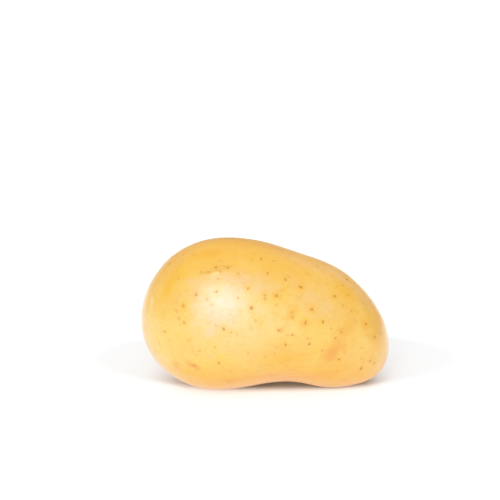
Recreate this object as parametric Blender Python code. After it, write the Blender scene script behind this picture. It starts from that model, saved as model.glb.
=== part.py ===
"""A kidney-shaped waxy potato lying on its hollow side, as one closed solid.

Metres, +Z up. X runs along the tuber, from the broad rose end at -X to the narrower heel at +X, and the
front is -Y. The origin lies on the table, under the middle of the tuber's box.

A place on the skin is written as (along, around): along is its share of the half length from the middle,
-1 at the rose end and 1 at the heel, and around is in degrees from the front, up over the top. The tuber
is a sphere to begin with, so each place is found on the sphere and then keeps its vertex.
"""

import math

import bmesh
import bpy
import numpy as np
from mathutils import Matrix, Vector, noise

LENGTH = 0.1004
FOOT_DEPTH = 0.0004  # how far the two lobes are pressed flat where they carry the weight

# The tuber's form at even steps along its length, from the rose end to the heel: how high the middle of
# the section lies, how far it is set back, and the half height and half depth of the round body that the
# section is cut from.
MIDDLE_HEIGHT = (0.0283, 0.0297, 0.0305, 0.0309, 0.0310, 0.0294, 0.0256, 0.0216, 0.0177)
SET_BACK = (-0.0008, -0.0004, -0.0001, 0.0004, 0.0010, 0.0015, 0.0023, 0.0029, 0.0032)
HALF_HEIGHT = (0.0372, 0.0363, 0.0348, 0.0317, 0.0285, 0.0270, 0.0289, 0.0301, 0.0336)
HALF_DEPTH = (0.0334, 0.0327, 0.0315, 0.0299, 0.0285, 0.0276, 0.0274, 0.0279, 0.0300)

# Broad swells and hollows of the skin: (along, around), reach and rise.
SWELLS = (
    ((0.05, 172), 0.022, -0.0012),
    ((-0.72, 148), 0.014, 0.0009),
    ((0.62, 146), 0.012, 0.0008),
    ((0.70, -158), 0.013, -0.0007),
    ((-0.45, -148), 0.012, 0.0006),
    ((-0.46, 84), 0.011, -0.0004),
    ((0.62, 92), 0.009, 0.0007),
)
LUMP_SPACING = 0.021
LUMP_HEIGHT = 0.00035

# The eyes wind round the tuber and crowd towards the rose end: (along, around), width and depth of the
# hollow, and the way from the bud to its brow, in degrees from straight towards the heel.
EYES = (
    ((-0.94, 150), 0.0065, 0.0009, 10),
    ((-0.92, 40), 0.0055, 0.0004, -15),
    ((-0.86, 112), 0.0070, 0.0009, -10),
    ((-0.72, 136), 0.0080, 0.0010, 15),
    ((-0.76, -150), 0.0080, 0.0010, 0),
    ((-0.42, 56), 0.0110, 0.0005, -70),
    ((-0.58, -33), 0.0065, 0.0003, -20),
    ((-0.24, 178), 0.0090, 0.0011, -10),
    ((-0.08, -100), 0.0080, 0.0008, 5),
    ((0.06, 120), 0.0085, 0.0009, 20),
    ((0.32, -160), 0.0085, 0.0010, -15),
    ((0.56, -13), 0.0075, 0.0004, 10),
    ((0.62, 132), 0.0085, 0.0009, 0),
    ((0.82, -166), 0.0065, 0.0007, 15),
)
BROW_RISE = 0.05  # these three are shares of an eye's width
BROW_PLACE = 0.40
BROW_THICKNESS = 0.15

# The scar where the tuber hung on its stolon, at the back of the heel.
SCAR = (0.965, 158)
SCAR_WIDTH = 0.0050
SCAR_DEPTH = 0.0009

GRID = (30, 20, 20)  # faces along the edges of the cube that is blown up into the tuber
FINE_REACH = 0.8  # how far round an eye the grid is halved, as a share of the eye's width

SKIN_COLOUR = (0.93, 0.63, 0.20, 1.0)
SKIN_ROUGHNESS = 0.42


def clear_scene():
    for obj in list(bpy.data.objects):
        bpy.data.objects.remove(obj, do_unlink=True)


def spline(values):
    """The natural cubic spline through values at even steps, as a function of place from -1 to 1."""
    count = len(values)
    values = np.array(values)
    ties = np.eye(count)
    bends = np.zeros(count)
    for i in range(1, count - 1):
        ties[i, i - 1 : i + 2] = 1, 4, 1
        bends[i] = values[i - 1] - 2 * values[i] + values[i + 1]
    bends = np.linalg.solve(ties, bends)

    def at(place):
        step = (place + 1) / 2 * (count - 1)
        i = min(int(step), count - 2)
        b = step - i
        a = 1 - b
        return a * values[i] + b * values[i + 1] + (a**3 - a) * bends[i] + (b**3 - b) * bends[i + 1]

    return at


def direction(along, around):
    """The point of the unit sphere that becomes this place on the skin."""
    ring = math.sqrt(1 - along**2)
    turn = math.radians(around)
    return Vector((along, -ring * math.cos(turn), ring * math.sin(turn)))


def tuber_form():
    """A function that carries a point of the unit sphere to the tuber's skin."""
    middle_height = spline(MIDDLE_HEIGHT)
    set_back = spline(SET_BACK)
    half_height = spline(HALF_HEIGHT)
    half_depth = spline(HALF_DEPTH)

    def place(point):
        along, across, up = point
        return Vector((
            LENGTH / 2 * along,
            set_back(along) + half_depth(along) * across,
            middle_height(along) + half_height(along) * up,
        ))

    return place


def unit_sphere():
    """A cube with a fine grid on each side, blown up so that its faces stay even."""
    bm = bmesh.new()
    bmesh.ops.create_cube(bm, size=2)
    for axis, faces in enumerate(GRID):
        edges = [edge for edge in bm.edges if edge.verts[0].co[axis] != edge.verts[1].co[axis]]
        bmesh.ops.subdivide_edges(bm, edges=edges, cuts=faces - 1)
    for vert in bm.verts:
        vert.co = Vector([math.tan(side * math.pi / 4) for side in vert.co]).normalized()
    return bm


def refine(bm, form, along, around, reach):
    """Halves the grid within reach of a place."""
    middle = form(direction(along, around))
    near = {vert for vert in bm.verts if (form(vert.co) - middle).length < reach}
    edges = [edge for edge in bm.edges if near & set(edge.verts)]
    bmesh.ops.subdivide_edges(bm, edges=edges, cuts=1, use_grid_fill=True, use_single_edge=True)
    for vert in bm.verts:
        vert.co.normalize()


def nearest_vert(bm, along, around):
    spot = direction(along, around)
    return min(bm.verts, key=lambda vert: (vert.co - spot).length)


def raise_skin(bm, height_at):
    """Moves each point out of the skin by height_at of its place."""
    bm.normal_update()
    heights = [height_at(vert.co) for vert in bm.verts]
    for vert, height in zip(bm.verts, heights):
        vert.co += vert.normal * height


def swell(bm, form):
    spots = [(form(direction(*place)), reach, rise) for place, reach, rise in SWELLS]

    def height_at(point):
        height = LUMP_HEIGHT * noise.noise(point / LUMP_SPACING)
        for spot, reach, rise in spots:
            height += rise * math.exp(-(((point - spot).length / reach) ** 2))
        return height

    raise_skin(bm, height_at)


def centre(bm):
    """Puts the middle of the box's base on the origin."""
    points = np.array([vert.co for vert in bm.verts])
    low, high = points.min(axis=0), points.max(axis=0)
    middle = (low + high) / 2
    bmesh.ops.translate(bm, verts=bm.verts, vec=(-middle[0], -middle[1], -low[2]))


def lay_down(bm):
    """Turns the tuber about Y until both lobes touch the table."""
    rose = min((vert.co for vert in bm.verts if vert.co.x < 0), key=lambda co: co.z)
    heel = min((vert.co for vert in bm.verts if vert.co.x > LENGTH / 6), key=lambda co: co.z)
    lean = math.atan2(heel.z - rose.z, heel.x - rose.x)
    bmesh.ops.rotate(bm, verts=bm.verts, cent=rose, matrix=Matrix.Rotation(lean, 3, "Y"))
    centre(bm)


def eye_form(bud, width, depth, turn):
    """The height of the skin near an eye: a shallow hollow round the bud, and a brow that bends over it."""
    middle, out = bud.co.copy(), bud.normal.copy()
    heelward = Vector((1, 0, 0))
    heelward = (heelward - heelward.project(out)).normalized()
    heelward.rotate(Matrix.Rotation(math.radians(turn), 3, out))
    sideways = out.cross(heelward)

    def height_at(point):
        offset = (point - middle) / width
        if offset.length > 1.5:
            return 0.0
        forth, aside = offset.dot(heelward), offset.dot(sideways)
        hollow = math.exp(-((forth / 0.34) ** 2) - (aside / 0.46) ** 2)
        over = (forth - BROW_PLACE + 0.6 * aside**2) / BROW_THICKNESS
        brow = math.exp(-(over**2) - (aside / 0.42) ** 2)
        return width * BROW_RISE * brow - depth * hollow

    return height_at


def press_eyes(bm, buds, scar):
    bm.normal_update()
    eyes = [eye_form(bud, *sizes) for bud, (_, *sizes) in zip(buds, EYES)]
    stub = scar.co.copy()

    def height_at(point):
        pit = math.exp(-((2 * (point - stub).length / SCAR_WIDTH) ** 2))
        return sum(eye(point) for eye in eyes) - SCAR_DEPTH * pit

    raise_skin(bm, height_at)


def flatten_feet(bm):
    """Presses the lowest skin of each lobe flat, then puts those flats on the table."""
    for vert in bm.verts:
        vert.co.z = max(vert.co.z, FOOT_DEPTH)
    centre(bm)


def skin_material():
    material = bpy.data.materials.new("potato_skin")
    material.use_nodes = True
    shader = material.node_tree.nodes["Principled BSDF"]
    shader.inputs["Base Color"].default_value = SKIN_COLOUR
    shader.inputs["Roughness"].default_value = SKIN_ROUGHNESS
    shader.inputs["Metallic"].default_value = 0.0
    return material


def make_potato():
    form = tuber_form()
    bm = unit_sphere()
    for place, width, _, _ in EYES:
        refine(bm, form, *place, FINE_REACH * width)
    refine(bm, form, *SCAR, SCAR_WIDTH)
    buds = [nearest_vert(bm, *place) for place, *_ in EYES]
    scar = nearest_vert(bm, *SCAR)
    for vert in bm.verts:
        vert.co = form(vert.co)
    swell(bm, form)
    lay_down(bm)
    press_eyes(bm, buds, scar)
    flatten_feet(bm)
    mesh = bpy.data.meshes.new("potato")
    bm.to_mesh(mesh)
    bm.free()
    mesh.shade_smooth()
    mesh.materials.append(skin_material())
    collection = bpy.data.collections.new("potato")
    bpy.context.scene.collection.children.link(collection)
    collection.objects.link(bpy.data.objects.new("potato", mesh))


clear_scene()
make_potato()
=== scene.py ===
"""The looks of a kidney-shaped waxy potato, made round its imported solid.

Metres, +Z up. X runs along the tuber, from the rose end at -X to the heel at +X, and the front is -Y.

A place on the skin is written as (along, around): its share of the half length from the middle, -1 at the
rose end and 1 at the heel, and its degrees from the front, up over the top.
"""

import math

import bmesh
import bpy
import numpy as np
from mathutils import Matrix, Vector, noise
from mathutils.bvhtree import BVHTree


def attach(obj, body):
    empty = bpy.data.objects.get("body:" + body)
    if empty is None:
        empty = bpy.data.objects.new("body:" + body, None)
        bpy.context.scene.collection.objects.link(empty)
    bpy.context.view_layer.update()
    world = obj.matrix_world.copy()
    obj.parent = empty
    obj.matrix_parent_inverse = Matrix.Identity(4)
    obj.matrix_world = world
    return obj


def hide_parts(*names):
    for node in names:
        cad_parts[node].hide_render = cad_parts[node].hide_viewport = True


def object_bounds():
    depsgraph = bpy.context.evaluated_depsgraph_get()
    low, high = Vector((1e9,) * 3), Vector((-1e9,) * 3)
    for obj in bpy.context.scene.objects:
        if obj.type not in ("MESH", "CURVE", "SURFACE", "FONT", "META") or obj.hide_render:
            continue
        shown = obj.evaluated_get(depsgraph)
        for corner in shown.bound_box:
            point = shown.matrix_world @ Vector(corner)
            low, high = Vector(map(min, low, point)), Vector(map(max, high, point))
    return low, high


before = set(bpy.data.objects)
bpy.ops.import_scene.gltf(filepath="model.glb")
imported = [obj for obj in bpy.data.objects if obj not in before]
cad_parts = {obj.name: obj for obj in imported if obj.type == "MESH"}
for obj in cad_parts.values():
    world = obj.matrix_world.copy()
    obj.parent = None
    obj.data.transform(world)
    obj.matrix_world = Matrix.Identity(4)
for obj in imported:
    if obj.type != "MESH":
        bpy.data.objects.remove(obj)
cad_low, cad_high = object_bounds()


# The camera
# It stands straight in front, nearly a metre off, and looks down a little. The tuber lies below and to the
# right of the middle of its picture.

PICTURE_PIXELS = 500
TUBER_MIDDLE = (265.4, 313.0)  # the pixel where the middle of the tuber's box lies
PIXELS_A_METRE = 2492  # at the tuber's middle
CAMERA_ELEVATION = math.radians(15)
CAMERA_DISTANCE = 0.9
SENSOR_MM = 36

to_camera = Vector((0, -math.cos(CAMERA_ELEVATION), math.sin(CAMERA_ELEVATION)))
picture_right = Vector((1, 0, 0))
picture_up = to_camera.cross(picture_right)
tuber_middle = (cad_low + cad_high) / 2


def behind_pixel(x, y):
    """The point behind a pixel, on the plane that faces the camera through the tuber's middle."""
    right, down = x - TUBER_MIDDLE[0], y - TUBER_MIDDLE[1]
    return tuber_middle + (picture_right * right - picture_up * down) / PIXELS_A_METRE


camera_data = bpy.data.cameras.new("camera")
camera_data.sensor_width = SENSOR_MM
camera_data.lens = PIXELS_A_METRE * CAMERA_DISTANCE * SENSOR_MM / PICTURE_PIXELS
camera = bpy.data.objects.new("camera", camera_data)
camera.location = behind_pixel(PICTURE_PIXELS / 2, PICTURE_PIXELS / 2) + to_camera * CAMERA_DISTANCE
camera.rotation_euler = to_camera.to_track_quat("Z", "Y").to_euler()
bpy.context.scene.collection.objects.link(camera)
bpy.context.scene.camera = camera


# The skin
# The tuber is a swollen stem, closed all round by a thin corky skin, smooth and a little waxy once it is
# washed. It grew as one piece, so its skin is one mesh, a finer copy of the solid.

MERGE_DISTANCE = 1e-6
PAIR_BEND = math.radians(30)  # two triangles become a quad if they bend less than this where they meet,
PAIR_SKEW = math.radians(45)  # and if its corners are closer than this to square
SUBDIVISIONS = 2
SMOOTH_PASSES, SMOOTH_FACTOR = 6, 0.5
RELIEF = ((0.0085, 0.00006), (0.0030, 0.000018))  # spacing and height of the skin's fine unevenness
SLICE = 0.001  # how far along the tuber the points of one section may lie from it


def merged_copy(node):
    """The solid's mesh with its loose triangles merged and paired into quads."""
    bm = bmesh.new()
    bm.from_mesh(node.data)
    bmesh.ops.remove_doubles(bm, verts=bm.verts, dist=MERGE_DISTANCE)
    bmesh.ops.join_triangles(
        bm, faces=bm.faces, angle_face_threshold=PAIR_BEND, angle_shape_threshold=PAIR_SKEW
    )
    mesh = bpy.data.meshes.new("potato_skin")
    bm.to_mesh(mesh)
    bm.free()
    return mesh


def use_up_modifiers(obj):
    """Gives the object its evaluated mesh as a plain mesh."""
    mesh = bpy.data.meshes.new_from_object(obj.evaluated_get(bpy.context.evaluated_depsgraph_get()))
    obj.modifiers.clear()
    obj.data = mesh


def read(data, name, size):
    """One value of each vertex or face, as rows of an array."""
    values = np.empty(len(data) * size, np.float32)
    data.foreach_get(name, values)
    return values.reshape(-1, size).astype(float)


def unit(vector):
    return vector / np.linalg.norm(vector)


def noise_at(places, spacing):
    return np.array([noise.noise(Vector(place) / spacing) for place in places])


skin = bpy.data.objects.new("potato_skin", merged_copy(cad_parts["potato"]))
bpy.context.scene.collection.objects.link(skin)
rounding = skin.modifiers.new("rounding", "SUBSURF")
rounding.levels = rounding.render_levels = SUBDIVISIONS
easing = skin.modifiers.new("easing", "SMOOTH")
easing.factor = SMOOTH_FACTOR
easing.iterations = SMOOTH_PASSES
use_up_modifiers(skin)
skin.data.shade_smooth()

points = read(skin.data.vertices, "co", 3)
outward = read(skin.data.vertex_normals, "vector", 3)
rise = sum(height * noise_at(points, spacing) for spacing, height in RELIEF)


def skin_spot(along, around):
    """The number of the skin's point at a place."""
    x = cad_high.x * along
    section = points[abs(points[:, 0] - x) < SLICE]
    middle = (section.max(axis=0) + section.min(axis=0)) / 2
    half = (section.max(axis=0) - section.min(axis=0)) / 2
    turn = math.radians(around)
    place = (x, middle[1] - half[1] * math.cos(turn), middle[2] + half[2] * math.sin(turn))
    return np.linalg.norm(points - place, axis=1).argmin()


# The eyes in the skin
# Each is a leaf's scar on the swollen stem: a shallow hollow that holds the buds, under a raised brow on
# the side towards the heel. They wind round the tuber and crowd at the rose end.

# place, width, the way from the bud to its brow in degrees from straight towards the heel, and how brown
EYES = (
    ((-0.94, 150), 0.0065, 10, 0.8),
    ((-0.92, 40), 0.0055, -15, 0.0),
    ((-0.86, 112), 0.0070, -10, 0.7),
    ((-0.72, 136), 0.0080, 15, 0.9),
    ((-0.76, -150), 0.0080, 0, 0.8),
    ((-0.42, 56), 0.0110, -70, 0.2),
    ((-0.58, -33), 0.0065, -20, 0.1),
    ((-0.24, 178), 0.0090, -10, 1.0),
    ((-0.08, -100), 0.0080, 5, 0.7),
    ((0.06, 120), 0.0085, 20, 0.8),
    ((0.32, -160), 0.0085, -15, 0.9),
    ((0.56, -13), 0.0075, 10, 0.0),
    ((0.62, 132), 0.0085, 0, 0.8),
    ((0.82, -166), 0.0065, 15, 0.7),
)
BROW_PLACE = 0.40  # this and the next ones are shares of an eye's width
BROW_BEND = 0.6
BROW_REACH = 0.42
LIP_THICKNESS, LIP_RISE = 0.07, 0.012
CREASE_PLACE, CREASE_THICKNESS, CREASE_DEPTH = 0.16, 0.055, 0.018
WRINKLES = ((0.17, 0.007), (0.32, 0.005), (0.46, 0.003))  # place past the brow and depth
WRINKLE_THICKNESS = 0.045
EYE_HEIGHT = 0.5  # how far out of the skin and into it the folds reach
EYE_BLUSH = (0.45, 0.6)  # how far its orange reaches towards the brow and across
YOUNG_FOLDS = 0.15  # how strong the folds are before an eye browns, as a share of a brown one's

blush_and_shade = np.zeros(len(points))
gold_and_shade = np.zeros(len(points))
tan_and_shade = np.zeros(len(points))
eyes = []  # each eye's middle, its ways out, to its brow and across, its width and how brown it is


def bell(distance, reach):
    return np.exp(-((distance / reach) ** 2))


for place, width, turn, brown in EYES:
    spot = skin_spot(*place)
    middle, out = points[spot], outward[spot]
    heelward = unit(np.array((1, 0, 0)) - out * out[0])
    across = np.cross(out, heelward)
    to_brow = heelward * math.cos(math.radians(turn)) + across * math.sin(math.radians(turn))
    across = np.cross(out, to_brow)
    eyes.append((middle, out, to_brow, across, width, brown))
    offset = (points - middle) / width
    near = bell(offset @ out, EYE_HEIGHT)
    forth, aside = offset @ to_brow, offset @ across
    past_brow = forth - BROW_PLACE + BROW_BEND * aside**2
    span = near * bell(aside, BROW_REACH)
    crease = span * bell(past_brow + CREASE_PLACE, CREASE_THICKNESS)
    folds = LIP_RISE * span * bell(past_brow, LIP_THICKNESS) - CREASE_DEPTH * crease
    for past, depth in WRINKLES:
        folds -= depth * span * bell(past_brow - past, WRINKLE_THICKNESS)
    rise += width * folds * (YOUNG_FOLDS + (1 - YOUNG_FOLDS) * brown)
    tan_and_shade = np.maximum(tan_and_shade, brown * crease)
    blush_and_shade = np.maximum(blush_and_shade, brown * near * bell(forth, EYE_BLUSH[0]) * bell(aside, EYE_BLUSH[1]))


# The scar in the skin
# Here the tuber hung on its stolon, at the back of the heel. It is a dry pit of cork that cracked as it
# shrank, with a raised rim round it.

SCAR = (0.965, 158)
SCAR_WIDTH = 0.0050
SCAR_RIM_RISE = 0.00030
SCAR_CRACKS = ((0.0013, 0.00030), (0.0006, 0.00016))  # spacing and depth
SCAR_EDGE = 1.6  # how steeply its cork ends at the rim
SCAR_RIM = (1.05, 0.22)  # how far out it lies and how thick it is, in half widths of the scar
SCAR_TAN = (1.0, 0.2)  # the same for the tan on the rim
SCAR_BLUSH = (0.0, 1.6)  # and for the orange round it
SCAR_STAIN = 0.7  # how strong those two are

spot = skin_spot(*SCAR)
from_scar = 2 * np.linalg.norm(points - points[spot], axis=1) / SCAR_WIDTH


def scar_ring(place, thickness):
    return bell(from_scar - place, thickness)


scar = np.clip(SCAR_EDGE * (1 - from_scar), 0, 1)
rise += SCAR_RIM_RISE * scar_ring(*SCAR_RIM)
rise += scar * sum(depth * noise_at(points, spacing) for spacing, depth in SCAR_CRACKS)
blush_and_shade = np.maximum(blush_and_shade, SCAR_STAIN * scar_ring(*SCAR_BLUSH))
tan_and_shade = np.maximum(tan_and_shade, SCAR_STAIN * scar_ring(*SCAR_TAN))

points += outward * rise[:, None]
points[:, 2] = np.maximum(points[:, 2], cad_low.z)  # the feet stay flat on the table
skin.data.vertices.foreach_set("co", points.astype(np.float32).ravel())
skin.data.update()
outward = read(skin.data.vertex_normals, "vector", 3)


# The skin's patches
# The skin is cream on the broad front, partly its own pale tone and partly a painted highlight and painted
# reflection. Its gold, orange and tan patches are partly its own, deeper gold where light reached the tuber
# or it lay against a stone, orange where it was rubbed and tan where it healed, and partly painted shade
# along the top, the rims and the underside.

# pixel of the middle, how far it reaches lengthwise and across in metres, and its turn and strength
# painted highlight round the soft light's gloss on the broad front and painted reflection on the upper right
# rim, with a little of the skin's own cream
CREAM_AND_HIGHLIGHT_PATCHES = (
    ((221, 303), 0.0122, 0.0125, 0, 1.0),
    ((232, 330), 0.0170, 0.0090, -20, 0.45),
    ((268, 320), 0.0150, 0.0080, -20, 0.25),
    ((316, 303), 0.0110, 0.0065, -30, 0.4),
    ((303, 261), 0.0130, 0.0035, -18, 0.5),
    ((337, 274), 0.0110, 0.0022, -32, 0.6),
    ((364, 298), 0.0110, 0.0016, -52, 0.5),
    ((176, 264), 0.0080, 0.0020, 45, 0.4),
    ((230, 279), 0.0170, 0.0036, -2, 0.9),
    ((260, 286), 0.0070, 0.0040, 0, 0.6),
    ((200, 346), 0.0070, 0.0060, 0, 0.2),
    ((293, 281), 0.0080, 0.0040, -20, 0.35),
    ((182, 299), 0.0060, 0.0060, 0, 0.25),
)
GOLD_AND_SHADE_PATCHES = (
    ((209, 254), 0.0068, 0.0032, 5, 1.0),
    # painted shade: deeper gold along the top
    ((236, 243), 0.0130, 0.0036, 0, 0.8),
    ((168, 287), 0.0060, 0.0026, 62, 0.8),
    ((182, 271), 0.0040, 0.0030, 40, 0.4),
    ((250, 257), 0.0080, 0.0026, 0, 0.35),
    ((292, 272), 0.0080, 0.0030, -20, 0.3),
    ((346, 292), 0.0055, 0.0035, -50, 0.8),
    ((320, 345), 0.0120, 0.0050, -10, 0.5),
    ((287, 359), 0.0080, 0.0035, 0, 0.9),
    ((290, 367), 0.0100, 0.0014, 0, 0.8),
    ((195, 375), 0.0100, 0.0040, -10, 0.7),
    ((325, 372), 0.0100, 0.0040, 0, 0.6),
    # painted shade: darker at the far right
    ((377, 340), 0.0080, 0.0040, 80, 0.7),
)
BLUSH_AND_SHADE_PATCHES = (
    ((210, 253), 0.0060, 0.0028, 5, 0.3),
    ((240, 240), 0.0190, 0.0026, -6, 0.3),
    ((332, 353), 0.0048, 0.0042, 30, 1.0),
    ((337, 343), 0.0034, 0.0032, 0, 0.6),
    ((194, 366), 0.0026, 0.0014, 0, 1.0),
    ((177, 366), 0.0022, 0.0030, 0, 0.5),
    # painted shade along the underside next to the table: this one and the next four
    ((228, 381), 0.0045, 0.0016, 0, 0.7),
    ((292, 377), 0.0120, 0.0016, 0, 0.8),
    ((268, 376), 0.0090, 0.0016, 0, 0.8),
    ((318, 375), 0.0110, 0.0026, 0, 0.4),
    ((283, 371), 0.0060, 0.0006, 0, 0.6),
    ((288, 354), 0.0030, 0.0010, 0, 0.4),
    ((304, 325), 0.0035, 0.0025, 0, 0.4),
    ((292, 314), 0.0020, 0.0022, 0, 0.5),
    ((346, 331), 0.0050, 0.0030, 30, 0.4),
    ((288, 353), 0.0170, 0.0070, 0, 0.34),
    ((345, 357), 0.0120, 0.0080, -20, 0.34),
    ((180, 350), 0.0080, 0.0060, -40, 0.2),
)
TAN_AND_SHADE_PATCHES = (
    ((206, 272.5), 0.0034, 0.0009, 4, 0.55),
    ((218, 270), 0.0024, 0.0008, 15, 0.5),
    ((227, 268), 0.0016, 0.0008, 20, 0.4),
    ((264.7, 297), 0.0005, 0.0018, 0, 0.6),
    ((176, 300), 0.0030, 0.0012, 60, 0.25),
    ((365, 305), 0.0030, 0.0020, -50, 0.3),
    # painted shade on the right and left rims: this one and the next two
    ((377, 338), 0.0085, 0.0045, 75, 0.32),
    ((144, 318), 0.0110, 0.0030, 88, 0.40),
    ((151, 282), 0.0080, 0.0022, 68, 0.25),
    ((155, 352), 0.0070, 0.0026, -60, 0.25),
)

# the same for those out of sight, by their places on the skin
HIDDEN_CREAM = (
    ((-0.42, -168), 0.0160, 0.0100, 10, 0.6),
    ((0.16, 170), 0.0140, 0.0080, -15, 0.5),
    ((0.62, 150), 0.0100, 0.0070, 20, 0.4),
    ((-0.80, 170), 0.0080, 0.0080, 0, 0.35),
)
HIDDEN_GOLD = (
    ((-0.58, 168), 0.0100, 0.0050, 20, 0.9),
    ((-0.10, 140), 0.0150, 0.0045, -10, 1.0),
    ((0.40, 158), 0.0110, 0.0050, 10, 0.9),
    ((0.80, 176), 0.0060, 0.0050, 40, 0.8),
    ((0.12, -155), 0.0160, 0.0045, 5, 0.9),
    ((-0.62, -150), 0.0110, 0.0040, -20, 0.8),
    ((-0.94, 100), 0.0050, 0.0080, 0, 0.7),
    ((0.90, 60), 0.0050, 0.0070, 0, 0.7),
)
HIDDEN_BLUSH = (
    ((0.52, -176), 0.0050, 0.0030, 30, 0.8),
    ((-0.34, 158), 0.0030, 0.0020, 0, 0.6),
    ((-0.55, -162), 0.0060, 0.0025, -15, 0.7),
    ((0.05, 164), 0.0040, 0.0010, 5, 0.6),
    ((0.24, 150), 0.0050, 0.0009, -8, 0.6),
    ((-0.05, -135), 0.0110, 0.0010, 0, 0.7),
    ((0.10, -128), 0.0120, 0.0012, 0, 0.7),
    ((-0.86, -130), 0.0050, 0.0040, 0, 0.6),
    ((0.93, 120), 0.0020, 0.0040, 0, 0.5),
)
HIDDEN_TAN = (
    ((0.30, 176), 0.0050, 0.0012, 20, 0.5),
    ((-0.68, -172), 0.0040, 0.0010, -20, 0.5),
    ((0.72, 160), 0.0030, 0.0020, 60, 0.4),
)
PATCH_EDGE = 1.15  # above 1 the edge of a patch is sharper than a plain bell's
PATCH_UNEVENNESS = 0.7
PATCH_LOBES = (0.0050, 0.0022)  # the spacing of the bays and tongues along a patch's edge

uneven = sum(noise_at(points, spacing) for spacing in PATCH_LOBES)
skin_tree = BVHTree.FromPolygons(points.tolist(), [face.vertices for face in skin.data.polygons])


def seen_place(x, y):
    """The place on the skin behind a pixel."""
    way = behind_pixel(x, y) - camera.location
    return skin_tree.ray_cast(camera.location, way.normalized())[0]


def nearest_spot(place):
    """The number of the skin's point nearest to a place."""
    return np.linalg.norm(points - place, axis=1).argmin()


def patch(spot, reach, side_reach, turn, strength):
    """How much of an oval patch round a point each point of the skin has."""
    out = outward[spot]
    turn = math.radians(turn)
    way = np.array(picture_right * math.cos(turn) + picture_up * math.sin(turn))
    way = unit(way - out * (way @ out))
    offset = points - points[spot]
    distance = (offset @ way / reach) ** 2 + (offset @ np.cross(out, way) / side_reach) ** 2
    distance += (offset @ out / (reach + side_reach)) ** 2
    return strength * np.exp(-((distance * (1 + PATCH_UNEVENNESS * uneven)) ** PATCH_EDGE))


def all_patches(seen, hidden):
    """The patches that show in front, by their pixels, and the hidden ones, by their places."""
    made = [patch(nearest_spot(seen_place(*pixel)), *form) for pixel, *form in seen]
    made += [patch(skin_spot(*place), *form) for place, *form in hidden]
    return np.max(made, axis=0)


cream_and_highlight = all_patches(CREAM_AND_HIGHLIGHT_PATCHES, HIDDEN_CREAM)
gold_and_shade = np.maximum(gold_and_shade, all_patches(GOLD_AND_SHADE_PATCHES, HIDDEN_GOLD))
blush_and_shade = np.maximum(blush_and_shade, all_patches(BLUSH_AND_SHADE_PATCHES, HIDDEN_BLUSH))
tan_and_shade = np.maximum(tan_and_shade, all_patches(TAN_AND_SHADE_PATCHES, HIDDEN_TAN))


# The skin's material
# The skin is a clear waxy cork over pale yellow flesh. Its colour wanders between pale and deep gold, with
# short orange streaks along the tuber. It is painted deeper gold towards the top as painted shade, and it
# reddens underneath, partly its own colour and partly painted shade.

# cream also stands for painted highlight and reflection; deep gold, orange, peach and green tan also for
# painted shade
CREAM_AND_HIGHLIGHT = (0.65, 0.402, 0.240, 1.0)
PALE = (0.69, 0.410, 0.082, 1.0)
GOLDEN = (0.68, 0.374, 0.054, 1.0)
DEEP_GOLD_AND_SHADE = (0.70, 0.338, 0.004, 1.0)
ORANGE_AND_SHADE = (0.59, 0.225, 0.004, 1.0)
PEACH_SHADE = (0.65, 0.290, 0.005, 1.0)
GREEN_TAN_AND_SHADE = (0.46, 0.255, 0.028, 1.0)
DUSKY_GOLD = (0.54, 0.285, 0.020, 1.0)
CORK = (0.28, 0.128, 0.012, 1.0)
DARK_CORK = (0.07, 0.028, 0.01, 1.0)
SCAR_CORK = (0.38, 0.175, 0.040, 1.0)
SCAR_CRACK = (0.17, 0.062, 0.010, 1.0)

# spacing, detail and roughness of the pattern that a tone follows, where in the pattern the tone starts
# and where it is full, and its strength
MOTTLING = (0.016, 4, 0.75, 0.32, 0.68, 1.0)
BLOTCHES = (0.0046, 3, 0.8, 0.46, 0.78, 0.5)
DUSK = (0.0036, 4, 0.7, 0.48, 0.74, 0.5)
FRECKLES = (0.0008, 3, 0.5, 0.52, 0.70, 0.3)
STREAKS = (0.0012, 4, 0.5, 0.58, 0.74, 0.45)
CRUMBS = (0.0007, 4, 0.7, 0.40, 0.62, 1.0)
LENGTHWISE = (0.22, 1, 1)  # draws the streaks out along the tuber
CREAM_AND_HIGHLIGHT_CLEARS = 0.75  # the share of the streaks that full cream and painted highlight hides
TOP_SHADE = (0.038, 0.062, 0.6)  # painted shade: the heights where the top's deeper gold starts and is full, and its strength
PEACH_SHADE_BELOW = (0.021, 0.003, 0.9)  # the same for peach on the way down, partly the skin's own colour and partly painted shade

DULL_SPACING = 0.004
DULLNESS = (0.3, 1.5)  # from the waxiest skin to the driest cork
WAX_ROUGHNESS, CORK_ROUGHNESS = 0.36, 0.75
GRAIN_SPACING, GRAIN_DETAIL = 0.0011, 3
GRAIN_STRENGTH, GRAIN_HEIGHT = 0.35, 0.00006
STREAK_GROOVE = 0.5  # how deep the streaks lie in the grain, as a share of its height

# the gloss of the wax, and the fine bloom that pales the skin where it turns away
FINISH = {
    "Specular IOR Level": 0.7,
    "Coat Weight": 0.7,
    "Coat Roughness": 0.36,
    "Sheen Weight": 0.24,
    "Sheen Roughness": 0.28,
    "Sheen Tint": (1.0, 0.82, 0.95, 1.0),
}


def add_node(tree, kind, inputs, **settings):
    """A new node with its settings, and its inputs as values or as links from other nodes' outputs."""
    made = tree.nodes.new(kind)
    for name, value in settings.items():
        setattr(made, name, value)
    for name, value in inputs.items():
        if isinstance(value, bpy.types.NodeSocket):
            tree.links.new(value, made.inputs[name])
        else:
            made.inputs[name].default_value = value
    return made


def arithmetic(tree, operation, *values, clamp=False):
    made = add_node(
        tree, "ShaderNodeMath", dict(enumerate(values)), operation=operation, use_clamp=clamp
    )
    return made.outputs[0]


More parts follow.
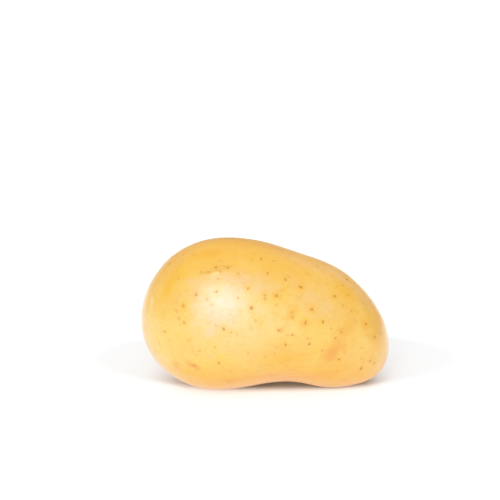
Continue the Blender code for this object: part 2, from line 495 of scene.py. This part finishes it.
def ramp(tree, value, low, high, to_high=1.0, to_low=0.0):
    """The value stretched so that low becomes to_low and high becomes to_high, with soft ends."""
    inputs = {"Value": value, "From Min": low, "From Max": high, "To Min": to_low, "To Max": to_high}
    return add_node(tree, "ShaderNodeMapRange", inputs, interpolation_type="SMOOTHSTEP").outputs[0]


def laid_over(tree, share, under, over):
    """The colour under with the colour over laid on it."""
    made = add_node(tree, "ShaderNodeMix", {0: share, 6: under, 7: over}, data_type="RGBA")
    return made.outputs[2]


def pattern(tree, place, spacing, detail=2.0, **inputs):
    inputs = {"Vector": place, "Scale": 1 / spacing, "Detail": detail, **inputs}
    return add_node(tree, "ShaderNodeTexNoise", inputs).outputs[0]


def tone(tree, place, spacing, detail, roughness, start, full, strength):
    """How much of a tone the skin has at each place, from a pattern."""
    spots = pattern(tree, place, spacing, detail, Roughness=roughness)
    return ramp(tree, spots, start, full, strength)


def painted(tree, name):
    return add_node(tree, "ShaderNodeAttribute", {}, attribute_name=name).outputs["Fac"]


def skin_material():
    material = bpy.data.materials.new("potato_skin")
    material.use_nodes = True
    tree = material.node_tree
    shader = tree.nodes["Principled BSDF"]
    place = add_node(tree, "ShaderNodeTexCoord", {}).outputs["Object"]
    lengthwise = add_node(tree, "ShaderNodeMapping", {"Vector": place, "Scale": LENGTHWISE}).outputs[0]
    height = add_node(tree, "ShaderNodeSeparateXYZ", {"Vector": place}).outputs["Z"]
    cream_and_highlight, scar, cork = (painted(tree, name) for name in ("cream_and_highlight", "scar", "cork"))
    clear = arithmetic(tree, "MULTIPLY_ADD", cream_and_highlight, -CREAM_AND_HIGHLIGHT_CLEARS, 1.0)
    streaks = arithmetic(tree, "MULTIPLY", tone(tree, lengthwise, *STREAKS), clear)

    colour = laid_over(tree, tone(tree, place, *MOTTLING), PALE, GOLDEN)
    layers = (
        # partly the skin's own cream, partly painted highlight and painted reflection
        (cream_and_highlight, CREAM_AND_HIGHLIGHT),
        (tone(tree, place, *BLOTCHES), DEEP_GOLD_AND_SHADE),
        (painted(tree, "gold_and_shade"), DEEP_GOLD_AND_SHADE),
        # painted shade: deeper gold towards the top
        (ramp(tree, height, *TOP_SHADE), DEEP_GOLD_AND_SHADE),
        # peach underneath, partly the skin's own colour and partly painted shade
        (ramp(tree, height, *PEACH_SHADE_BELOW), PEACH_SHADE),
        (tone(tree, place, *DUSK), DUSKY_GOLD),
        (tone(tree, place, *FRECKLES), DUSKY_GOLD),
        (streaks, ORANGE_AND_SHADE),
        # partly the skin's own orange, partly painted shade along the underside
        (painted(tree, "blush_and_shade"), ORANGE_AND_SHADE),
        # partly the skin's own tan, partly painted shade on the rims
        (painted(tree, "tan_and_shade"), GREEN_TAN_AND_SHADE),
        (scar, laid_over(tree, tone(tree, place, *CRUMBS), SCAR_CRACK, SCAR_CORK)),
        (cork, laid_over(tree, painted(tree, "dark"), CORK, DARK_CORK)),
    )
    for share, shade in layers:
        colour = laid_over(tree, share, colour, shade)
    tree.links.new(colour, shader.inputs["Base Color"])

    dull = arithmetic(tree, "ADD", pattern(tree, place, DULL_SPACING), cork)
    dull = arithmetic(tree, "ADD", dull, scar)
    roughness = ramp(tree, dull, *DULLNESS, to_high=CORK_ROUGHNESS, to_low=WAX_ROUGHNESS)
    tree.links.new(roughness, shader.inputs["Roughness"])
    grain = pattern(tree, place, GRAIN_SPACING, GRAIN_DETAIL)
    grain = arithmetic(tree, "MULTIPLY_ADD", streaks, -STREAK_GROOVE, grain)
    relief = {"Strength": GRAIN_STRENGTH, "Distance": GRAIN_HEIGHT, "Height": grain}
    tree.links.new(add_node(tree, "ShaderNodeBump", relief).outputs[0], shader.inputs["Normal"])
    for name, value in FINISH.items():
        shader.inputs[name].default_value = value
    return material


def paint(obj, name, values):
    """Keeps one value for each point of a piece, which its material reads."""
    kept = obj.data.attributes.get(name) or obj.data.attributes.new(name, "FLOAT", "POINT")
    kept.data.foreach_set("value", np.asarray(values, np.float32))


skin.data.materials.clear()
skin.data.materials.append(skin_material())
paint(skin, "cream_and_highlight", cream_and_highlight)
paint(skin, "tan_and_shade", tan_and_shade)
paint(skin, "scar", scar)
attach(skin, "root")
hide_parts("potato")


# The lenticels
# They are the pores that the tuber breathes through: small low pads of loose cork that grew out of the
# skin, a few millimetres apart. The middle of each, about a millimetre wide, is brown once it is dry.

# pixels of those that show in front, by how brown they are
DARK_PORES = (
    (215.9, 267.2), (251.1, 308.0), (223.7, 329.0), (300.6, 287.2), (305.5, 323.0), (322.9, 321.9),
    (309.4, 344.1), (339.0, 359.4), (361.0, 368.6),
)
BROWN_PORES = (
    (228.1, 267.8), (247.8, 288.7), (216.6, 291.8), (196.2, 294.8),
    (183.5, 305.8), (184.2, 322.6), (164.7, 331.6), (169.4, 264.0), (261.0, 259.3), (267.6, 273.5),
    (285.4, 279.6), (276.2, 295.9), (311.7, 309.6), (334.6, 296.3), (292.2, 335.0),
    (285.5, 344.7), (335.6, 338.0), (341.3, 332.0), (366.0, 324.1), (374.7, 337.2), (322.2, 350.5),
    (370.1, 361.1), (374.3, 363.2), (218.8, 363.0), (278.4, 330.4), (347.0, 279.6), (194.1, 365.6),
    (228.9, 382.7), (370.2, 301.4),
)
FAINT_PORES = (
    (194.5, 255.2), (201.5, 272.0), (208.6, 272.2), (219.6, 271.4), (221.0, 260.9), (223.8, 266.4),
    (178.0, 278.7), (183.4, 254.2), (150.8, 285.0), (235.8, 242.9), (252.0, 260.1), (273.6, 260.8),
    (237.8, 273.7), (218.0, 279.1), (295.0, 263.7), (307.2, 273.7), (323.8, 263.4), (317.5, 266.0),
    (343.0, 285.3), (348.1, 295.0), (351.4, 311.2), (380.6, 326.0), (380.7, 333.5), (361.7, 347.8),
    (361.6, 359.2), (344.5, 380.0), (337.0, 371.4), (176.6, 311.3), (179.0, 318.3), (159.3, 343.0),
    (215.9, 325.4), (211.6, 304.6), (214.8, 347.3), (255.2, 320.6), (276.4, 305.0), (281.7, 329.6),
    (237.3, 334.3), (231.0, 332.4), (287.4, 335.4), (307.8, 338.9), (330.7, 328.7), (343.0, 305.7),
    (248.0, 353.3), (274.6, 353.4), (277.0, 347.2), (286.6, 366.4), (272.4, 365.2), (264.8, 357.2),
    (231.6, 371.7), (197.0, 355.0), (199.6, 350.9), (176.4, 363.5), (176.2, 367.0), (292.0, 312.6),
    (292.4, 317.4), (264.7, 295.4), (264.7, 299.0), (207.4, 299.6), (237.6, 298.1), (288.6, 276.3),
)
PORE_KINDS = ((0.0023, 1.0), (0.0020, 0.82), (0.0019, 0.42))  # width and brownness: dark, brown, faint
PORE_SHARES = (0.10, 0.42, 0.48)  # of the pores out of the camera's sight
UNSEEN_PORES = 120
PORE_CLEARANCE = 2.0  # how far from the scar they keep, as a share of half its width
FEET_HEIGHT = 0.0012  # and they keep off the lowest skin
PORE_SPACING = 0.0042  # the least from one to the next
PORE_TRIES = 40  # places tried for each one out of sight
PORE_SEED = 11
SEEN_FACING = 0.22  # how squarely skin that counts as seen faces the camera, from 0 to 1

PORE_WIDTHS = (0.85, 1.15)  # the narrowest and the widest of a kind, as shares of its width
PORE_RISE, PORE_SINK = 0.040, 0.018  # shares of a pore's width
PORE_UNEVENNESS = 0.22
PAD_SIDES, PAD_RINGS = 10, 6
PAD_SHOULDER = 1.5  # the power by which a pad falls away to its rim
HALO_REACH = 0.0019
HALO_ORANGE = (0.0, 0.35)  # the weakest and the strongest orange in the skin round a pore
HALO_GOLD = (0.32, 0.8)  # and the same for gold


def new_tree(name, inputs):
    """A tree of geometry nodes with its named inputs, and the sockets at its start and its end."""
    tree = bpy.data.node_groups.new(name, "GeometryNodeTree")
    tree.interface.new_socket("Geometry", in_out="OUTPUT", socket_type="NodeSocketGeometry")
    tree.interface.new_socket("Geometry", in_out="INPUT", socket_type="NodeSocketGeometry")
    for title, kind in inputs.items():
        tree.interface.new_socket(title, in_out="INPUT", socket_type="NodeSocket" + kind)
    return tree, tree.nodes.new("NodeGroupInput").outputs, tree.nodes.new("NodeGroupOutput").inputs


def named(tree, name, kind="FLOAT"):
    return add_node(tree, "GeometryNodeInputNamedAttribute", {"Name": name}, data_type=kind).outputs[0]


def keep(tree, geometry, name, value):
    inputs = {"Geometry": geometry, "Name": name, "Value": value}
    return add_node(tree, "GeometryNodeStoreNamedAttribute", inputs).outputs[0]


def dot_product(tree, first, second):
    made = add_node(tree, "ShaderNodeVectorMath", {0: first, 1: second}, operation="DOT_PRODUCT")
    return made.outputs["Value"]


def pad_form(tree, given):
    """A low round pad one metre wide. Its rim is sunk, and the cork on it ends where it meets the skin."""
    ball = {"Segments": given["Sides"], "Rings": given["Rings"], "Radius": 0.5}
    ball = add_node(tree, "GeometryNodeMeshUVSphere", ball).outputs["Mesh"]
    spot = add_node(tree, "GeometryNodeInputPosition", {}).outputs[0]
    axes = add_node(tree, "ShaderNodeSeparateXYZ", {"Vector": spot}).outputs
    flat = add_node(tree, "ShaderNodeVectorMath", {0: spot, 1: (2, 2, 0)}, operation="MULTIPLY").outputs[0]
    swell = arithmetic(tree, "SUBTRACT", 1.0, dot_product(tree, flat, flat), clamp=True)
    swell = arithmetic(tree, "POWER", swell, PAD_SHOULDER)
    on_top = arithmetic(tree, "GREATER_THAN", axes["Z"], 0.0)
    thickness = arithmetic(tree, "MULTIPLY_ADD", given["Sink"], 2.0, given["Rise"])
    full = arithmetic(tree, "SUBTRACT", arithmetic(tree, "MULTIPLY", on_top, thickness), given["Sink"])
    up = arithmetic(tree, "SUBTRACT", arithmetic(tree, "MULTIPLY", swell, full), given["Sink"])
    pad = keep(tree, ball, "cork", arithmetic(tree, "DIVIDE", up, given["Rise"], clamp=True))
    moved = add_node(tree, "ShaderNodeCombineXYZ", {"X": axes["X"], "Y": axes["Y"], "Z": up}).outputs[0]
    return add_node(tree, "GeometryNodeSetPosition", {"Geometry": pad, "Position": moved}).outputs[0]


def cork_pads():
    """A tree that puts a pad on each point, upright on the skin and a little wider one way than the other."""
    tree, given, result = new_tree("cork_pads", {
        "Sides": "Int", "Rings": "Int", "Rise": "Float", "Sink": "Float",
        "Unevenness": "Float", "Seed": "Int", "Material": "Material",
    })
    upright = {"Vector": named(tree, "out", "FLOAT_VECTOR")}
    upright = add_node(tree, "FunctionNodeAlignRotationToVector", upright, axis="Z").outputs[0]
    spin = add_node(tree, "FunctionNodeRandomValue", {3: math.tau, "Seed": given["Seed"]}).outputs[1]
    spin = {"Axis": (0, 0, 1), "Angle": spin}
    spin = add_node(tree, "FunctionNodeAxisAngleToRotation", spin).outputs[0]
    turned = {"Rotation": upright, "Rotate By": spin}
    turned = add_node(tree, "FunctionNodeRotateRotation", turned, rotation_space="LOCAL").outputs[0]
    uneven = {2: 0.0, 3: given["Unevenness"], "Seed": given["Seed"]}
    uneven = add_node(tree, "FunctionNodeRandomValue", uneven).outputs[1]
    longer = arithmetic(tree, "ADD", 1.0, uneven)
    narrower = arithmetic(tree, "SUBTRACT", 1.0, uneven)
    size = add_node(tree, "ShaderNodeCombineXYZ", {"X": longer, "Y": narrower, "Z": 1.0}).outputs[0]
    size = {0: size, "Scale": named(tree, "width")}
    size = add_node(tree, "ShaderNodeVectorMath", size, operation="SCALE").outputs[0]
    pads = add_node(tree, "GeometryNodeInstanceOnPoints", {
        "Points": given["Geometry"], "Instance": pad_form(tree, given), "Rotation": turned, "Scale": size,
    }).outputs[0]
    pads = add_node(tree, "GeometryNodeRealizeInstances", {"Geometry": pads}).outputs[0]
    brown_cork = arithmetic(tree, "MULTIPLY", named(tree, "cork"), named(tree, "brown"))
    pads = keep(tree, pads, "cork", brown_cork)
    pads = add_node(tree, "GeometryNodeSetShadeSmooth", {"Geometry": pads}).outputs[0]
    pads = {"Geometry": pads, "Material": given["Material"]}
    pads = add_node(tree, "GeometryNodeSetMaterial", pads).outputs[0]
    tree.links.new(pads, result["Geometry"])
    return tree


def grow_pads(name, places, widths, browns, **sizes):
    """A piece of cork pads, one at each of these places on the skin."""
    spots = [nearest_spot(place) for place in places]
    mesh = bpy.data.meshes.new(name)
    mesh.from_pydata(places, [], [])
    piece = bpy.data.objects.new(name, mesh)
    bpy.context.scene.collection.objects.link(piece)
    paint(piece, "width", widths)
    paint(piece, "brown", browns)
    for shade, values in {"cream_and_highlight": cream_and_highlight, "gold_and_shade": gold_and_shade, "blush_and_shade": blush_and_shade, "tan_and_shade": tan_and_shade}.items():
        paint(piece, shade, values[spots])
    out = mesh.attributes.new("out", "FLOAT_VECTOR", "POINT")
    out.data.foreach_set("vector", outward[spots].astype(np.float32).ravel())
    growth = piece.modifiers.new("growth", "NODES")
    growth.node_group = cork_pads()
    sizes["Material"] = skin.data.materials[0]
    for socket in growth.node_group.interface.items_tree:
        if socket.name in sizes:
            growth[socket.identifier] = sizes[socket.name]
    use_up_modifiers(piece)
    return piece


kinds = (DARK_PORES, BROWN_PORES, FAINT_PORES)
pores = [(seen_place(*pixel), kind) for kind, pixels in enumerate(kinds) for pixel in pixels]
chance = np.random.default_rng(PORE_SEED)
areas = read(skin.data.polygons, "area", 1)[:, 0]
corners = np.array([face.vertices[0] for face in skin.data.polygons])
barred = outward @ np.array(to_camera) > SEEN_FACING  # here the pores are placed by their pixels
barred |= from_scar < PORE_CLEARANCE
barred |= points[:, 2] < cad_low.z + FEET_HEIGHT
for spot in chance.choice(corners, PORE_TRIES * UNSEEN_PORES, p=areas / areas.sum()):
    if len(pores) == sum(map(len, kinds)) + UNSEEN_PORES:
        break
    taken = np.array([place for place, _ in pores])
    if not barred[spot] and np.linalg.norm(taken - points[spot], axis=1).min() > PORE_SPACING:
        pores.append((points[spot], chance.choice(len(kinds), p=PORE_SHARES)))

places = [place for place, _ in pores]
widths, browns = np.array([PORE_KINDS[kind] for _, kind in pores]).T
widths = widths * chance.uniform(*PORE_WIDTHS, len(pores))
for place, brown in zip(places, browns):
    around = bell(np.linalg.norm(points - place, axis=1), HALO_REACH)
    blush_and_shade = np.maximum(blush_and_shade, chance.uniform(*HALO_ORANGE) * brown * around)
    gold_and_shade = np.maximum(gold_and_shade, chance.uniform(*HALO_GOLD) * brown * around)
paint(skin, "blush_and_shade", blush_and_shade)
paint(skin, "gold_and_shade", gold_and_shade)

lenticels = grow_pads(
    "lenticels", places, widths, browns, Sides=PAD_SIDES, Rings=PAD_RINGS,
    Rise=PORE_RISE, Sink=PORE_SINK, Unevenness=PORE_UNEVENNESS, Seed=PORE_SEED,
)
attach(lenticels, "root")


# The buds
# A few dry brown bud scales stand in the hollow of each eye that has browned, the middle one largest. The
# skin has closed over the buds of the others.

BUD_BROWN = 0.5  # an eye no browner than this shows none
# shares of the eye's width towards its brow and across, and the size beside the middle one's
BUD_PLACES = ((0.02, 0.0, 1.0), (-0.04, 0.22, 0.7), (0.05, -0.25, 0.6), (-0.22, 0.06, 0.5))
BUD_WIDTH = 0.0019
BUD_RISE, BUD_SINK = 0.16, 0.10  # shares of a bud's width
BUD_UNEVENNESS = 0.3
BUD_SEED = 5

buds = []
for middle, out, to_brow, across, width, brown in eyes:
    if brown > BUD_BROWN:
        for forth, aside, size in BUD_PLACES:
            spot = nearest_spot(middle + width * (forth * to_brow + aside * across))
            buds.append((points[spot], BUD_WIDTH * size, brown))
places, widths, browns = zip(*buds)
bud_scales = grow_pads(
    "bud_scales", places, widths, browns, Sides=PAD_SIDES, Rings=PAD_RINGS,
    Rise=BUD_RISE, Sink=BUD_SINK, Unevenness=BUD_UNEVENNESS, Seed=BUD_SEED,
)
paint(bud_scales, "dark", np.ones(len(bud_scales.data.vertices)))
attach(bud_scales, "root")


# The studio
# A white table under a dim white dome, brighter in front and above. One broad soft light is set in it: in
# front, a little left and above. A silk overhead, a little behind, lifts the top and the back without a
# gloss of its own.
# The table glows with painted light, all but an oval round the tuber where its shadow shows.

DOME_STRENGTH = 0.47
DOME_TILT = (-0.02, -0.38, 0.34)  # how much brighter than that it is to the right, the back and above
KEY_AZIMUTH = math.radians(-10)
KEY_ELEVATION = math.radians(28)
KEY_STRENGTH = 6.9
KEY_TIGHTNESS = 11.0  # the power by which the soft light fades away from its middle
KEY_NARROWNESS = 5.5  # and how much faster it fades to its sides, because it is taller than wide
WHITE = (1, 1, 1, 1)
FLOOR_SIZE = 8.0
FLOOR_GREY = 0.74
FLOOR_ROUGHNESS, FLOOR_SPECULAR = 0.9, 0.2
PAINTED_FLOOR_LIGHT = 0.50  # painted light: the table glows all round the tuber and its shadow
SHADOW_PLACE = (0.004, 0.037)  # the middle of the oval left without the painted light
SHADOW_STRETCH = 1.9  # how much longer it is than deep
SHADOW_REACH = (0.037, 0.047)  # its half depth, and where the painted light is full
SILK_LEAN = math.radians(28)  # from straight overhead towards the back
SILK_STRENGTH = 1.7
SILK_SPREAD = math.radians(70)

world = bpy.data.worlds.new("white_dome")
world.use_nodes = True
bpy.context.scene.world = world
air = world.node_tree
to_key = (
    math.sin(KEY_AZIMUTH) * math.cos(KEY_ELEVATION),
    -math.cos(KEY_AZIMUTH) * math.cos(KEY_ELEVATION),
    math.sin(KEY_ELEVATION),
)
toward = add_node(air, "ShaderNodeTexCoord", {}).outputs["Generated"]
facing = arithmetic(air, "MAXIMUM", dot_product(air, toward, to_key), 0.0)
key_side = (math.cos(KEY_AZIMUTH), math.sin(KEY_AZIMUTH), 0)
beside = arithmetic(air, "POWER", dot_product(air, toward, key_side), 2.0)
narrowed = arithmetic(air, "SUBTRACT", 1.0, beside)
soft_box = arithmetic(
    air, "MULTIPLY",
    arithmetic(air, "POWER", facing, KEY_TIGHTNESS), arithmetic(air, "POWER", narrowed, KEY_NARROWNESS),
)
tilt = dot_product(air, toward, DOME_TILT)
dome = arithmetic(air, "MULTIPLY_ADD", tilt, DOME_STRENGTH, DOME_STRENGTH)
strength = arithmetic(air, "MULTIPLY_ADD", soft_box, KEY_STRENGTH, dome)
air.nodes["Background"].inputs["Color"].default_value = WHITE
air.links.new(strength, air.nodes["Background"].inputs["Strength"])

silk_data = bpy.data.lights.new("overhead_silk", "SUN")
silk_data.energy = SILK_STRENGTH
silk_data.angle = SILK_SPREAD
silk = bpy.data.objects.new("overhead_silk", silk_data)
silk.rotation_euler = (-SILK_LEAN, 0, 0)
silk.visible_glossy = False
bpy.context.scene.collection.objects.link(silk)

floor_material = bpy.data.materials.new("white_table")
floor_material.use_nodes = True
floor_shader = floor_material.node_tree.nodes["Principled BSDF"]
floor_shader.inputs["Base Color"].default_value = (FLOOR_GREY, FLOOR_GREY, FLOOR_GREY, 1)
floor_shader.inputs["Roughness"].default_value = FLOOR_ROUGHNESS
floor_shader.inputs["Specular IOR Level"].default_value = FLOOR_SPECULAR
floor_shader.inputs["Emission Color"].default_value = WHITE
table = floor_material.node_tree
from_oval = add_node(table, "ShaderNodeMapping", {
    "Vector": add_node(table, "ShaderNodeTexCoord", {}).outputs["Object"],
    "Location": (-SHADOW_PLACE[0] / SHADOW_STRETCH, -SHADOW_PLACE[1], 0),
    "Scale": (1 / SHADOW_STRETCH, 1, 1),
}).outputs[0]
reach = add_node(table, "ShaderNodeVectorMath", {0: from_oval}, operation="LENGTH").outputs["Value"]
# painted light on the table, none inside the shadow oval
floor_light = ramp(table, reach, *SHADOW_REACH, PAINTED_FLOOR_LIGHT)
table.links.new(floor_light, floor_shader.inputs["Emission Strength"])
bpy.ops.mesh.primitive_plane_add(size=FLOOR_SIZE, location=(0, 0, cad_low.z))
floor = bpy.context.object
floor.name = "floor"
floor.data.materials.append(floor_material)


# The film
# It takes the brightest light softly, so that white doesn't swallow the cream of the skin, and weak blue
# light weaker still, which keeps the golds deep.

FILM_WHITE = 1.16
FILM = ((0.76, 0.76), (0.90, 0.89), (1.0, 0.955))  # light that comes in and light that shows
FILM_BLUE = ((0.12, 0.11), (0.45, 0.455))

view = bpy.context.scene.view_settings
view.view_transform = "Standard"
view.use_curve_mapping = True
view.curve_mapping.white_level = (FILM_WHITE, FILM_WHITE, FILM_WHITE)
for comes_in, shows in FILM:
    view.curve_mapping.curves[3].points.new(comes_in / FILM_WHITE, shows)
for comes_in, shows in FILM_BLUE:
    view.curve_mapping.curves[2].points.new(comes_in, shows)
view.curve_mapping.update()
